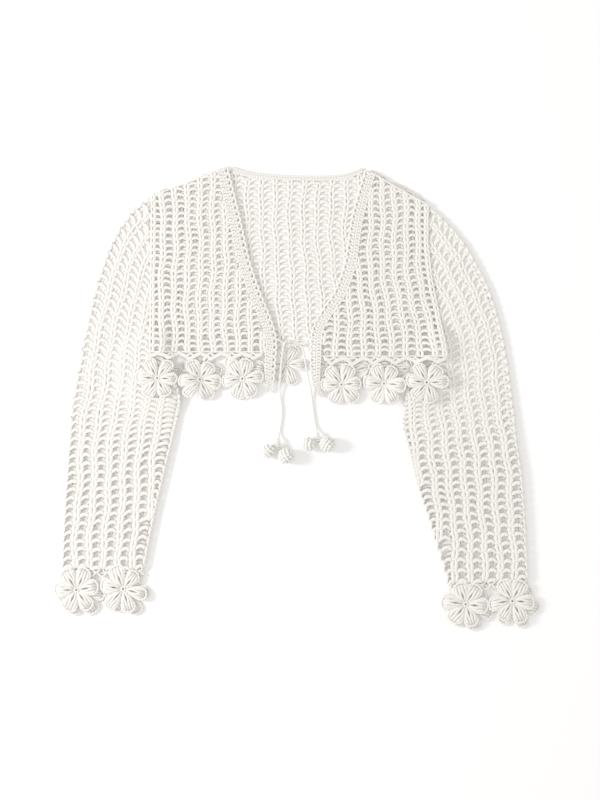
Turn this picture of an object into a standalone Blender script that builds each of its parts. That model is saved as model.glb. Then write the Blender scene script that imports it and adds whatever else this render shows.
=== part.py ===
"""A cropped crochet cardigan, laid flat on its back: net panels, flower edging and a drawn tie."""

import math

import bmesh
import bpy
from mathutils import Vector

MM = 0.001

# Driving dimensions, all in millimetres.
WALL = 2.2  # one layer of the net
RIB = 0.8  # a pillar of stitches stands this far above its net
SEAM = 0.3  # between two pieces that are sewn together or lie on each other
EASE = 1.2  # the net stops this far short of an edging, whose chords cut across its curve
BAND_THICK = 2.8
PILLAR_WIDTH = 7.0
BODY_PITCH = 17.5  # from pillar to pillar across a front
BACK_PITCH = 20.8  # from pillar to pillar across the back
SLEEVE_COLUMNS = 7  # pillars across each layer of a sleeve
SLEEVE_HOLLOW = 3.2  # air between the two layers of a sleeve
HEM_FLOWER = 30.3  # radius of a flower on the hem
CUFF_FLOWER = 32.6
FLOWER_EDGE = 2.4  # height of a petal at its rim
FLOWER_CROWN = 4.4  # height of a petal at its middle
LATTICE_WIDTH = 2.8
SCALLOP = 8.8  # pitch of the scallops along the front bands
SCALLOP_DEEP = 1.3
CORD_RADIUS = 1.1

# The tables are measured from the middle of the front opening at the hem; the part's origin
# is the middle of the whole.
MIDDLE_X = -1.0
MIDDLE_Y = -3.2

# Heights of the stacked layers.
NET_TOP = WALL + RIB
FRONT_Z = NET_TOP + SEAM
OVER_FLOWER = FLOWER_CROWN + SEAM
TUCK_HOLLOW = 0.6  # air left in a sleeve where the body's corner presses on it
TUCKED_SLEEVE = 2 * WALL + TUCK_HOLLOW + RIB + 3.0 * SEAM
DROOP = 2.4  # how far the lowest petals hang towards the surface

# Armhole edges of the body, from the armpit to the shoulder: y, x.
ARMHOLES = {
    "right": ((60.0, -207.6), (172.0, -206.4), (281.0, -205.2)),
    "left": ((54.0, 211.6), (66.0, 210.2), (116.0, 200.4), (166.0, 190.2), (216.0, 184.8), (267.0, 185.6)),
}
# Back panel, lower edge: x, y.
BACK_HEM = ((-208.0, 67.0), (-120.0, 74.0), (0.0, 77.0), (120.0, 73.0), (211.0, 65.0))
# Back panel, shoulders from tip to neck on each side, and the middle of the neck's edging: x, y.
BACK_SHOULDERS = (
    ((-206.0, 280.5), (-150.0, 302.5), (-98.0, 321.0)),
    ((99.0, 317.0), (163.0, 284.5), (187.0, 266.5)),
)
BACK_NECK = ((-92.0, 317.6), (-59.0, 309.2), (4.0, 305.0), (60.0, 306.4), (92.0, 316.2))
NECK_BAND_WIDTH = 5.4

# Front bands from the hem to the shoulder: x and y of the edge at the opening, width.
BAND_RIGHT = (
    (-40.0, 4.0, 5.0),
    (-33.5, 14.0, 9.0),
    (-30.8, 29.4, 13.5),
    (-29.0, 54.0, 15.0),
    (-28.0, 78.4, 15.0),
    (-35.0, 106.4, 15.0),
    (-49.0, 141.4, 15.5),
    (-65.8, 190.4, 16.0),
    (-79.8, 253.4, 16.0),
    (-96.6, 321.0, 15.0),
)
BAND_LEFT = (
    (34.0, -3.0, 4.6),
    (25.0, 8.0, 8.0),
    (21.4, 19.0, 10.6),
    (18.2, 50.4, 15.0),
    (21.0, 92.4, 15.0),
    (35.0, 120.4, 15.0),
    (53.2, 148.4, 15.5),
    (67.2, 190.4, 16.0),
    (77.0, 253.4, 16.0),
    (95.2, 316.4, 15.0),
)

# Each front: lower edge, two points of the shoulder, the last place across at the band, and
# the way outwards.
FRONTS = {
    "right": {
        "hem": 61.6,
        "shoulder": ((-206.0, 280.5), (-98.0, 321.0)),
        "last": -46.4,
        "band": BAND_RIGHT,
        "way": -1,
    },
    "left": {
        "hem": 55.4,
        "shoulder": ((187.0, 266.5), (99.0, 317.0)),
        "last": 36.6,
        "band": BAND_LEFT,
        "way": 1,
    },
}

# Sleeves, a row for each ring from the armhole to the cuff: x and y at the outer fold,
# x and y at the inner fold, how much of the armhole's curve the ring keeps, and the share of
# the full hollow that it has.
SLEEVE_RIGHT = (
    (-206.2, 279.8, -208.6, 64.0, 1.0, 0.0),
    (-232.0, 260.0, -206.6, 61.0, 0.0, 0.0),
    (-257.0, 222.0, -202.0, 58.0, 0.0, 0.0),
    (-276.0, 176.4, -195.0, 54.5, 0.0, 0.0),
    (-289.0, 130.0, -186.5, 50.0, 0.0, 0.0),
    (-299.0, 84.0, -176.0, 41.0, 0.0, 0.0),
    (-309.0, 32.0, -165.5, 24.0, 0.0, 0.0),
    (-317.8, -21.0, -160.4, -8.0, 0.0, 0.3),
    (-322.0, -70.0, -169.0, -46.0, 0.0, 0.8),
    (-325.4, -117.6, -181.0, -98.0, 0.0, 1.0),
    (-329.0, -173.6, -196.5, -163.0, 0.0, 1.0),
    (-331.8, -240.6, -211.4, -238.0, 0.0, 1.0),
)
SLEEVE_LEFT = (
    (187.0, 265.6, 212.0, 61.0, 1.0, 0.0),
    (209.0, 246.0, 209.4, 57.6, 0.6, 0.0),
    (235.0, 216.0, 204.0, 53.0, 0.2, 0.0),
    (257.0, 178.0, 196.0, 47.0, 0.0, 0.0),
    (273.5, 142.0, 187.0, 42.0, 0.0, 0.0),
    (287.0, 96.0, 175.0, 31.0, 0.0, 0.0),
    (296.8, 45.0, 156.0, 12.0, 0.0, 0.0),
    (305.2, -21.0, 143.4, -22.0, 0.0, 0.3),
    (311.0, -70.0, 150.6, -62.0, 0.0, 0.8),
    (317.8, -117.6, 162.0, -112.0, 0.0, 1.0),
    (322.0, -185.0, 183.6, -177.0, 0.0, 1.0),
    (325.4, -253.2, 209.6, -261.6, 0.0, 1.0),
)

# Flowers: name, x and y of the middle.
HEM_FLOWERS_FRONT = (
    ("flower_front_right_1", -195.0, 25.0),
    ("flower_front_right_2", -135.6, 23.2),
    ("flower_front_right_3", -76.2, 24.2),
    ("flower_front_left_1", 62.6, 15.8),
    ("flower_front_left_2", 122.0, 17.4),
    ("flower_front_left_3", 181.4, 19.0),
)
BACK_FLOWERS = 7
BACK_FLOWER_FIRST = -193.0
BACK_FLOWER_PITCH = 59.3
BACK_FLOWER_DROP = 32.6  # from the back's lower edge down to a flower's middle
CUFF_FLOWERS_TOP = (
    ("flower_cuff_right_1", -308.6, -271.4),
    ("flower_cuff_right_2", -243.2, -270.0),
    ("flower_cuff_left_1", 236.2, -291.4),
    ("flower_cuff_left_2", 301.6, -286.8),
)
CUFF_UNDER_SHIFT = (5.0, -5.5)  # the lower flowers show beside and below the upper ones

# One petal, a row for each point of its outline: degrees from its middle, share of the
# flower's radius, and share of that distance at which its crown lies.
PETAL = (
    (-30.0, 0.46, 0.80),
    (-25.5, 0.74, 0.78),
    (-11.0, 0.98, 0.72),
    (11.0, 0.98, 0.72),
    (25.5, 0.74, 0.78),
)
PETALS = 6

# Ties: x, y, z of points along each cord.
TIE_RIGHT = (
    (-27.2, 80.2, 6.2),
    (-22.4, 76.6, 5.9),
    (-17.4, 73.4, 5.9),
    (-11.0, 71.9, 6.0),
    (-5.0, 71.5, 6.0),
    (1.0, 71.2, 6.0),
    (6.0, 69.2, 6.0),
    (8.8, 63.0, 6.0),
    (11.0, 52.0, 6.1),
    (13.0, 40.0, 6.1),
    (14.6, 30.0, 6.1),
    (16.4, 21.0, 5.9),
    (18.6, 12.6, 4.9),
    (20.0, 4.0, 2.9),
    (21.0, -5.0, 1.5),
    (22.6, -18.0, 1.2),
    (25.0, -34.0, 1.2),
    (26.8, -45.0, 2.2),
    (28.2, -53.0, 5.6),
)
TIE_LEFT = (
    (-13.0, 78.6, 4.8),
    (-15.0, 76.8, 7.2),
    (-17.2, 73.6, 8.8),
    (-18.8, 70.0, 8.2),
    (-19.6, 64.0, 6.6),
    (-20.8, 55.0, 6.1),
    (-22.0, 45.0, 6.1),
    (-22.7, 34.0, 6.1),
    (-23.4, 24.0, 6.0),
    (-24.6, 14.0, 4.9),
    (-24.2, 5.0, 2.9),
    (-22.8, -4.0, 1.5),
    (-21.2, -16.0, 1.2),
    (-21.2, -29.0, 1.2),
    (-23.2, -43.0, 1.2),
    (-25.0, -53.0, 2.2),
    (-26.2, -61.0, 5.6),
)
TIE_STEP = 5.4  # between points along a cord

# Crocheted balls: name, x, y, radius; and the knot above each pair.
BALLS = {
    "right": (("ball_right_1", 16.0, -67.0, 10.5), ("ball_right_2", 42.4, -67.4, 11.5)),
    "left": (("ball_left_1", -40.4, -77.2, 10.5), ("ball_left_2", -15.2, -83.8, 12.0)),
}
BALL_SQUASH = 0.8  # height of a ball as a share of its width
KNOTS = {"right": (28.6, -58.4), "left": (-26.6, -66.6)}
KNOT_RADIUS = 2.6
KNOT_ARM = 1.5  # half the width of the loops from a knot to its balls
KNOT_LOW = 4.4
KNOT_HIGH = 8.4

# Colours of the yarns: name, red, green, blue, roughness.
YARNS = {
    "cotton_net": (0.86, 0.84, 0.79, 0.85),
    "cotton_flower": (0.88, 0.865, 0.82, 0.8),
    "cotton_edging": (0.87, 0.85, 0.80, 0.82),
    "cotton_cord": (0.88, 0.86, 0.81, 0.8),
}


# Reading values from the tables


def smooth(start, end, value):
    """0 before start, 1 after end, with a soft rise between them."""
    share = min(max((value - start) / (end - start), 0.0), 1.0)
    return share * share * (3.0 - 2.0 * share)


def read(rows, place, column=1):
    """A column's value where the first column is place, on straight lines between the rows."""
    rows = sorted(rows)
    if place <= rows[0][0]:
        return rows[0][column]
    for low, high in zip(rows, rows[1:]):
        if place <= high[0]:
            share = (place - low[0]) / (high[0] - low[0])
            return low[column] + (high[column] - low[column]) * share
    return rows[-1][column]


def through(rows, steps):
    """Rows along a smooth curve through the given ones, with steps to each span."""
    result = []
    last = len(rows) - 1
    for index in range(last):
        before = rows[max(index - 1, 0)]
        after = rows[min(index + 2, last)]
        for step in range(steps):
            t = step / steps
            row = []
            for a, b, c, d in zip(before, rows[index], rows[index + 1], after):
                cubic = (3.0 * b - a - 3.0 * c + d) * t**3
                square = (2.0 * a - 5.0 * b + 4.0 * c - d) * t**2
                row.append(0.5 * (2.0 * b + (c - a) * t + square + cubic))
            result.append(tuple(row))
    result.append(tuple(rows[-1]))
    return result


def evenly(rows, step, size):
    """Rows a given step apart along the curve, measured on their first size columns."""
    fine = through(rows, 24)
    reach = [0.0]
    for one, two in zip(fine, fine[1:]):
        reach.append(reach[-1] + math.dist(one[:size], two[:size]))
    count = max(round(reach[-1] / step), 1)
    result = []
    place = 0
    for index in range(count + 1):
        wanted = reach[-1] * index / count
        while place < len(fine) - 2 and reach[place + 1] < wanted:
            place += 1
        span = reach[place + 1] - reach[place]
        share = (wanted - reach[place]) / span
        one, two = fine[place], fine[place + 1]
        result.append(tuple(a + (b - a) * share for a, b in zip(one, two)))
    return result


def beside(rows, way):
    """Points at each row's own width beside a path of x, y, width; way is -1 or 1 in x."""
    result = []
    for index, (x, y, width) in enumerate(rows):
        one = rows[max(index - 1, 0)]
        two = rows[min(index + 1, len(rows) - 1)]
        along = Vector((two[0] - one[0], two[1] - one[1])).normalized()
        across = Vector((along.y, -along.x))
        if across.x * way < 0:
            across = -across
        result.append((x + across.x * width, y + across.y * width))
    return result


# How the layers lie on each other


def inner_fold(rows, y):
    """x of a sleeve's inner fold at height y."""
    return read([(row[3], row[2]) for row in rows], y)


def sleeve_base(x, y):
    """Lowest point of a sleeve: it rides over the back's outermost flower."""
    outer = (BACK_FLOWER_FIRST, BACK_FLOWER_FIRST + BACK_FLOWER_PITCH * (BACK_FLOWERS - 1))
    nearest = min(outer, key=lambda place: abs(place - x))
    far = math.dist((x, y), (nearest, back_flower_y(nearest)))
    return (OVER_FLOWER + SEAM) * (1.0 - smooth(40.0, 72.0, far))


def front_base(x, y):
    """Lowest point of a front, its edging and its flowers."""
    rows = SLEEVE_RIGHT if x < 0 else SLEEVE_LEFT
    inside = (inner_fold(rows, y) - x) * (1 if x < 0 else -1)
    tucked = smooth(-40.0, -17.0, inside) * (1.0 - smooth(80.0, 112.0, y))
    over_back_flowers = (OVER_FLOWER - FRONT_Z) * (1.0 - smooth(78.0, 96.0, y))
    droop = DROOP * smooth(-12.0, 12.0, 6.0 - y) * (1.0 - tucked)
    return FRONT_Z + over_back_flowers + TUCKED_SLEEVE * tucked - droop


def on_surface(x, y):
    """The surface that the cardigan lies on."""
    return 0.0


def on_flower(x, y):
    """The top of a flower that lies on the surface."""
    return OVER_FLOWER


# Building closed walls


def material(name):
    red, green, blue, rough = YARNS[name]
    made = bpy.data.materials.get(name) or bpy.data.materials.new(name)
    made.use_nodes = True
    shader = made.node_tree.nodes["Principled BSDF"]
    shader.inputs["Base Color"].default_value = (red, green, blue, 1.0)
    shader.inputs["Roughness"].default_value = rough
    shader.inputs["Metallic"].default_value = 0.0
    made.diffuse_color = (red, green, blue, 1.0)
    return made


def placed(point):
    """A point of the tables, in metres from the part's origin."""
    return Vector(((point[0] - MIDDLE_X) * MM, (point[1] - MIDDLE_Y) * MM, point[2] * MM))


def finish(name, bm, yarn):
    bmesh.ops.recalc_face_normals(bm, faces=bm.faces)
    mesh = bpy.data.meshes.new(name)
    bm.to_mesh(mesh)
    bm.free()
    mesh.materials.append(material(yarn))
    mesh.shade_smooth()
    mesh.set_sharp_from_angle(angle=math.radians(40.0))
    made = bpy.data.objects.new(name, mesh)
    bpy.context.scene.collection.objects.link(made)
    return made


def wall(name, lower, upper, yarn):
    """A closed wall between two grids of points, lines of equal length."""
    bm = bmesh.new()
    low = [[bm.verts.new(placed(point)) for point in line] for line in lower]
    top = [[bm.verts.new(placed(point)) for point in line] for line in upper]
    lines, places = len(low), len(low[0])
    for i in range(lines - 1):
        for j in range(places - 1):
            bm.faces.new((top[i][j], top[i][j + 1], top[i + 1][j + 1], top[i + 1][j]))
            bm.faces.new((low[i][j], low[i + 1][j], low[i + 1][j + 1], low[i][j + 1]))
    rim = [(0, j) for j in range(places)]
    rim += [(i, places - 1) for i in range(1, lines)]
    rim += [(lines - 1, j) for j in range(places - 2, -1, -1)]
    rim += [(i, 0) for i in range(lines - 2, 0, -1)]
    for (a, b), (c, d) in zip(rim, rim[1:] + rim[:1]):
        bm.faces.new((low[a][b], low[c][d], top[c][d], top[a][b]))
    return finish(name, bm, yarn)


def tube(name, outer, inner, yarn):
    """A tube with a wall between outer and inner rings, open at both ends."""
    bm = bmesh.new()
    out = [[bm.verts.new(placed(point)) for point in ring] for ring in outer]
    into = [[bm.verts.new(placed(point)) for point in ring] for ring in inner]
    around = len(out[0])
    for i in range(len(out) - 1):
        for j in range(around):
            k = (j + 1) % around
            bm.faces.new((out[i][j], out[i][k], out[i + 1][k], out[i + 1][j]))
            bm.faces.new((into[i][j], into[i + 1][j], into[i + 1][k], into[i][k]))
    for i in (0, -1):
        for j in range(around):
            k = (j + 1) % around
            bm.faces.new((out[i][j], out[i][k], into[i][k], into[i][j]))
    return finish(name, bm, yarn)


def ribbed(start, end, pitch):
    """Places across a net with a crest on each pillar: place, share of the rib's height."""
    count = round(abs(end - start) / pitch)
    step = (end - start) / count
    half = math.copysign(PILLAR_WIDTH / 2.0, step)
    places = [(start, 0.0)]
    for index in range(count):
        middle = start + step * (index + 0.5)
        places += [(middle - half, 0.0), (middle, 1.0), (middle + half, 0.0)]
    places.append((end, 0.0))
    return places


# The panels


def back_top(x):
    """The back's upper edge: a shoulder, or the neck just under its edging."""
    left, right = BACK_SHOULDERS
    if x <= left[-1][0]:
        return read(left, x)
    if x >= right[0][0]:
        return read(right, x)
    return read(through(BACK_NECK, 6), x) - NECK_BAND_WIDTH / 2.0 - 3.0 * SEAM


def back():
    """One net panel from the hem to the shoulders and the back of the neck."""
    hem = through(BACK_HEM, 6)
    rows = 4
    first, last = ARMHOLES["right"][0][1], ARMHOLES["left"][1][1]
    top_first, top_last = ARMHOLES["right"][-1][1], ARMHOLES["left"][-1][1]
    lower, upper = [], []
    for x_hem, crest in ribbed(first, last, BACK_PITCH):
        across = (x_hem - first) / (last - first)
        y_hem = read(hem, x_hem)
        y_top = back_top(top_first + (top_last - top_first) * across)
        low, top = [], []
        for row in range(rows + 1):
            y = y_hem + (y_top - y_hem) * row / rows
            left, right = read(ARMHOLES["right"], y), read(ARMHOLES["left"], y)
            x = left + (right - left) * across
            low.append((x, y, 0.0))
            top.append((x, y, WALL + RIB * crest))
        lower.append(low)
        upper.append(top)
    wall("back", lower, upper, "cotton_net")


def front(side):
    """A net panel from the armhole to the front band."""
    plan = FRONTS[side]
    rows = 6
    band = [(x, y, width + SEAM + EASE) for x, y, width in evenly(plan["band"], 4.0, 2)]
    edge = [point for point in beside(band, plan["way"]) if point[1] > 90.0]
    armhole = ARMHOLES[side]
    first, last = read(armhole, plan["hem"]), plan["last"]
    lower, upper = [], []
    for x_hem, crest in ribbed(first, last, BODY_PITCH):
        away = (last - x_hem) / (last - first)
        x_top = x_hem + (armhole[-1][1] - first) * away
        y_top = min(read(plan["shoulder"], x_top), read(edge, x_top))
        low, top = [], []
        for row in range(rows + 1):
            y = plan["hem"] + (y_top - plan["hem"]) * row / rows
            x = x_hem + (read(armhole, y) - first) * away
            base = front_base(x, y)
            low.append((x, y, base))
            top.append((x, y, base + WALL + RIB * crest))
        lower.append(low)
        upper.append(top)
    wall("front_" + side, lower, upper, "cotton_net")


def armhole_bow(side, y):
    """How far the armhole's edge bows from a straight line at height y."""
    (low, low_x), (high, high_x) = ARMHOLES[side][0], ARMHOLES[side][-1]
    share = min(max((y - low) / (high - low), 0.0), 1.0)
    return read(ARMHOLES[side], y) - (low_x + (high_x - low_x) * share)


def sleeve_ring(row):
    """Outer and inner points round one ring of a sleeve laid flat."""
    start = Vector(row[0:2])
    end = Vector(row[2:4])
    length = (end - start).length
    along = (end - start) / length
    side = "right" if start.x < 0 else "left"
    kept, opened = row[4], row[5]
    hollow = TUCK_HOLLOW + (SLEEVE_HOLLOW - TUCK_HOLLOW) * opened
    half = WALL + hollow / 2.0
    bend = half - WALL

    section = []  # distance along the ring, outer height, inner distance, inner height
    for degrees in (-60.0, 0.0, 60.0):
        turn = math.radians(degrees)
        level = half * math.sin(turn)
        inner_level = bend * math.sin(turn)
        section.append((half * (1.0 - math.cos(turn)), level, half - bend * math.cos(turn), inner_level))
    for place, crest in ribbed(half, length - half, (length - 2.0 * half) / SLEEVE_COLUMNS):
        section.append((place, half + RIB * crest, place, bend))
    for degrees in (60.0, 0.0, -60.0):
        turn = math.radians(degrees)
        level = half * math.sin(turn)
        inner_level = bend * math.sin(turn)
        far = length - half
        section.append((far + half * math.cos(turn), level, far + bend * math.cos(turn), inner_level))
    plain = 7
    for index in range(plain + 1):
        place = length - half - (length - 2.0 * half) * index / plain
        section.append((place, -half, place, -bend))

    outer, inner = [], []
    for place, level, inner_place, inner_level in section:
        for ring, at, rise in ((outer, place, level), (inner, inner_place, inner_level)):
            point = start + along * at
            point.x += kept * armhole_bow(side, point.y)
            ring.append((point.x, point.y, sleeve_base(point.x, point.y) + half + rise))
    return outer, inner


def sleeve(name, rows):
    """A net tube laid flat, from the armhole to the cuff."""
    rings = [sleeve_ring(row) for row in rows]
    tube(name, [ring[0] for ring in rings], [ring[1] for ring in rings], "cotton_net")


# The edgings


def front_band(name, rows, way):
    """Scalloped edging from the hem up the front to the shoulder."""
    inner = evenly(rows, SCALLOP / 2.0, 2)
    outer = beside(inner, way)
    lower, upper = [], []
    for index, (near, far) in enumerate(zip(inner, outer)):
        push = SCALLOP_DEEP * (index % 2) / near[2]
        edge = (near[0] + (far[0] - near[0]) * push, near[1] + (far[1] - near[1]) * push)
        line = [(x, y, front_base(x, y)) for x, y in (edge, far)]
        lower.append(line)
        upper.append([(x, y, z + BAND_THICK) for x, y, z in line])
    wall(name, lower, upper, "cotton_edging")


def ribbon(name, path, width, base, height, yarn):
    """A flat strip along a path of x, y, mitred at its corners."""
    lower, upper = [], []
    for index, (x, y) in enumerate(path):
        before = Vector(path[max(index - 1, 0)])
        here = Vector((x, y))
        after = Vector(path[min(index + 1, len(path) - 1)])
        one = (here - before) if index else (after - here)
        two = (after - here) if index < len(path) - 1 else one
        one, two = one.normalized(), two.normalized()
        across = Vector((-one.y - two.y, one.x + two.x)).normalized()
        reach = width / 2.0 / max(across.dot(Vector((-one.y, one.x))), 0.5)
        line = []
        for side in (-1.0, 1.0):
            point = here + across * reach * side
            line.append((point.x, point.y, base(point.x, point.y)))
        lower.append(line)
        upper.append([(a, b, c + height) for a, b, c in line])
    wall(name, lower, upper, yarn)


def lattice(name, middles, hem_at, base, first, last):
    """Chain loops that zigzag between a panel's lower edge and its flowers' upper petals."""
    inset = LATTICE_WIDTH / 2.0 + SEAM
    half_petal = HEM_FLOWER * math.cos(math.radians(360.0 / PETALS))
    tip = HEM_FLOWER * math.sin(math.radians(360.0 / PETALS)) + 1.0  # the rim's highest corner
    corner = 1.4  # a mitre reaches this much further than the strip's edge
    path = [(first, hem_at(first) - inset * corner)]
    for x, y in middles:
        for way in (-1, 1):
            path.append((x + way * half_petal, y + tip + inset * corner))
            high = x if way < 0 else x + BACK_FLOWER_PITCH / 2.0
            path.append((high, hem_at(high) - inset * corner))
    path[-1] = (last, hem_at(last) - inset * corner)
    ribbon(name, path, LATTICE_WIDTH, base, WALL, "cotton_net")


def flower(name, x, y, radius, base):
    """Six puffed petals round a low middle."""
    bm = bmesh.new()
    rings = [[], [], []]  # rim below, rim above, crown
    for petal in range(PETALS):
        for degrees, share, crown in PETAL:
            turn = math.radians(degrees + petal * 360.0 / PETALS)
            high = FLOWER_CROWN if share > 0.5 else FLOWER_EDGE
            for ring, reach, rise in ((0, 1.0, 0.0), (1, 1.0, FLOWER_EDGE), (2, crown, high)):
                far = radius * share * reach
                px = x + far * math.cos(turn)
                py = y + far * math.sin(turn)
                rings[ring].append(bm.verts.new(placed((px, py, base(px, py) + rise))))
    under = bm.verts.new(placed((x, y, base(x, y))))
    over = bm.verts.new(placed((x, y, base(x, y) + FLOWER_EDGE)))
    count = len(rings[0])
    for j in range(count):
        k = (j + 1) % count
        bm.faces.new((under, rings[0][k], rings[0][j]))
        bm.faces.new((rings[0][j], rings[0][k], rings[1][k], rings[1][j]))
        bm.faces.new((rings[1][j], rings[1][k], rings[2][k], rings[2][j]))
        bm.faces.new((over, rings[2][j], rings[2][k]))
    finish(name, bm, "cotton_flower")


def back_flower_y(x):
    return read(through(BACK_HEM, 6), x) - BACK_FLOWER_DROP


# The ties


def cord(name, rows):
    """A round cord on a smooth curve through its points."""
    data = bpy.data.curves.new(name, "CURVE")
    data.dimensions = "3D"
    data.bevel_depth = CORD_RADIUS * MM
    data.bevel_resolution = 2
    data.use_fill_caps = True
    points = evenly(rows, TIE_STEP, 3)
    spline = data.splines.new("POLY")
    spline.points.add(len(points) - 1)
    for place, point in zip(spline.points, points):
        place.co = (*placed(point), 1.0)
    data.materials.append(material("cotton_cord"))
    made = bpy.data.objects.new(name, data)
    bpy.context.scene.collection.objects.link(made)


def ball(name, x, y, radius):
    """A small crocheted ball, a little flattened where it lies."""
    bm = bmesh.new()
    bmesh.ops.create_uvsphere(bm, u_segments=14, v_segments=8, radius=radius * MM)
    height = radius * BALL_SQUASH * MM
    bmesh.ops.scale(bm, vec=(1.0, 1.0, BALL_SQUASH), verts=bm.verts)
    bmesh.ops.translate(bm, vec=placed((x, y, 0.0)) + Vector((0.0, 0.0, height)), verts=bm.verts)
    finish(name, bm, "cotton_cord")


def knot(name, middle, ends):
    """The knot of a tie, with a loop to each of its balls: x, y and radius of each."""
    turns = []
    for x, y, radius in ends:
        turn = math.atan2(y - middle[1], x - middle[0])
        reach = math.dist(middle, (x, y)) - radius - SEAM
        turns.append((turn, max(reach, KNOT_RADIUS)))
    turns.sort()
    outline = []
    for index, (turn, reach) in enumerate(turns):
        following = turns[(index + 1) % len(turns)][0]
        if following < turn:
            following += 2.0 * math.pi
        for side in (-1.0, 1.0):
            swing = math.atan2(side * KNOT_ARM, reach)
            far = math.hypot(KNOT_ARM, reach)
            outline.append((turn + swing, far))
        gap = following - turn
        for share in (0.36, 0.64) if gap > 1.6 else (0.5,):
            outline.append((turn + gap * share, KNOT_RADIUS))
    bm = bmesh.new()
    rings = []
    for level in (KNOT_LOW, KNOT_HIGH):
        ring = []
        for turn, far in outline:
            point = (middle[0] + far * math.cos(turn), middle[1] + far * math.sin(turn), level)
            ring.append(bm.verts.new(placed(point)))
        rings.append(ring)
    bm.faces.new(rings[0])
    bm.faces.new(rings[1])
    for j in range(len(outline)):
        k = (j + 1) % len(outline)
        bm.faces.new((rings[0][j], rings[0][k], rings[1][k], rings[1][j]))
    finish(name, bm, "cotton_cord")


# The whole cardigan


def main():
    for item in list(bpy.data.objects):
        bpy.data.objects.remove(item)

    back()
    for side in FRONTS:
        front(side)
    sleeve("sleeve_right", SLEEVE_RIGHT)
    sleeve("sleeve_left", SLEEVE_LEFT)

    front_band("band_right", BAND_RIGHT, -1)
    front_band("band_left", BAND_LEFT, 1)
    neck = [(x, y) for x, y in evenly(BACK_NECK, 12.0, 2)]
    ribbon("band_neck", neck, NECK_BAND_WIDTH, on_surface, BAND_THICK, "cotton_edging")

    for name, x, y in HEM_FLOWERS_FRONT:
        flower(name, x, y, HEM_FLOWER, front_base)
    behind = []
    for index in range(BACK_FLOWERS):
        x = BACK_FLOWER_FIRST + BACK_FLOWER_PITCH * index
        behind.append((x, back_flower_y(x)))
        flower(f"flower_back_{index + 1}", x, back_flower_y(x), HEM_FLOWER, on_surface)
    for name, x, y in CUFF_FLOWERS_TOP:
        flower(name, x, y, CUFF_FLOWER, on_flower)
        under_x, under_y = x + CUFF_UNDER_SHIFT[0], y + CUFF_UNDER_SHIFT[1]
        flower(name + "_under", under_x, under_y, CUFF_FLOWER, on_surface)

    hem = through(BACK_HEM, 6)
    lattice("lattice_back", behind, lambda x: read(hem, x), on_surface, -206.0, 206.0)
    middles = [(x, y) for name, x, y in HEM_FLOWERS_FRONT]
    lattice("lattice_front_right", middles[:3], lambda x: FRONTS["right"]["hem"], front_base, -206.0, -48.0)
    lattice("lattice_front_left", middles[3:], lambda x: FRONTS["left"]["hem"], front_base, 38.4, 209.0)

    cord("tie_right", TIE_RIGHT)
    cord("tie_left", TIE_LEFT)
    for side, rows in (("right", TIE_RIGHT), ("left", TIE_LEFT)):
        end = rows[-1]
        reaches = [(x, y, radius) for name, x, y, radius in BALLS[side]]
        knot("knot_" + side, KNOTS[side], reaches + [(end[0], end[1], SEAM)])
        for name, x, y, radius in BALLS[side]:
            ball(name, x, y, radius)


main()
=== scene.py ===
# %% [markdown]
# # A crochet cardigan, laid flat
# The cardigan is a net of cotton yarn: panels of upright stitches joined by chain loops,
# with flowers along the hem and the cuffs and a cord at the opening. Here every strand of
# yarn is real geometry, because the light that falls through the holes is what makes
# crochet look like crochet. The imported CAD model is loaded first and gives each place.

# %% The frame
import math
import bpy
import numpy as np
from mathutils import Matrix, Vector


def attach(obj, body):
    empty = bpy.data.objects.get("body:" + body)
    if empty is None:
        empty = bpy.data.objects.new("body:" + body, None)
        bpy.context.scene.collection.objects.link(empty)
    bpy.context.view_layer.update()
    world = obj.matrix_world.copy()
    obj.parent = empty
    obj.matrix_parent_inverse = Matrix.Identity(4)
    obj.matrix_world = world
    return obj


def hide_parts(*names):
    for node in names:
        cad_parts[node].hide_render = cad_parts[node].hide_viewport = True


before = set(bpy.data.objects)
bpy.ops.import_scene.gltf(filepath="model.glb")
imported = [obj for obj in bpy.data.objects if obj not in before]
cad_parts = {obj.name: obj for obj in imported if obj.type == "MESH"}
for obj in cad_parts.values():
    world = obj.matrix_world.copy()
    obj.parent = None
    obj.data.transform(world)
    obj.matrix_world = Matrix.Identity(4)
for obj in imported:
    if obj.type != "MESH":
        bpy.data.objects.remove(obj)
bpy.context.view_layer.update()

# %% [markdown]
# ## Camera
# A garment laid flat is photographed straight from above. A long lens at three metres
# keeps the verticals upright. The frame's long side is 1.12 m at the cloth.

# %% Camera
OVER_THE_CLOTH = (0.0052, -0.0024, 3.116)
bpy.ops.object.camera_add(location=OVER_THE_CLOTH, rotation=(0.0, 0.0, 0.0))
camera = bpy.context.object
camera.data.lens = 100.0
camera.data.sensor_width = 36.0
camera.data.clip_end = 20.0
bpy.context.scene.camera = camera
print("camera", tuple(round(v, 3) for v in camera.location))

# %% [markdown]
# ## Measures
# Every table is in millimetres from the middle of the front opening at the hem, as a maker
# would measure with a tape. One helper turns such a place into metres in the model's frame,
# and the others read a table between its rows.

# %% Places in the model
MIDDLE = (-1.0, -3.2)


def metres(points):
    """Rows of x, y, z in millimetres of the tables as metres in the model's frame."""
    moved = np.array(points, float)
    moved[:, 0] -= MIDDLE[0]
    moved[:, 1] -= MIDDLE[1]
    return moved * 0.001


# %% Reading tables
def smooth(start, end, value):
    """0 before start, 1 after end, with a soft rise between them."""
    share = np.clip((value - start) / (end - start), 0.0, 1.0)
    return share * share * (3.0 - 2.0 * share)


def read(rows, place):
    """The second column's value where the first is place, on straight lines."""
    rows = np.array(rows, float)
    rows = rows[np.argsort(rows[:, 0], kind="stable")]
    return np.interp(place, rows[:, 0], rows[:, 1])


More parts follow.
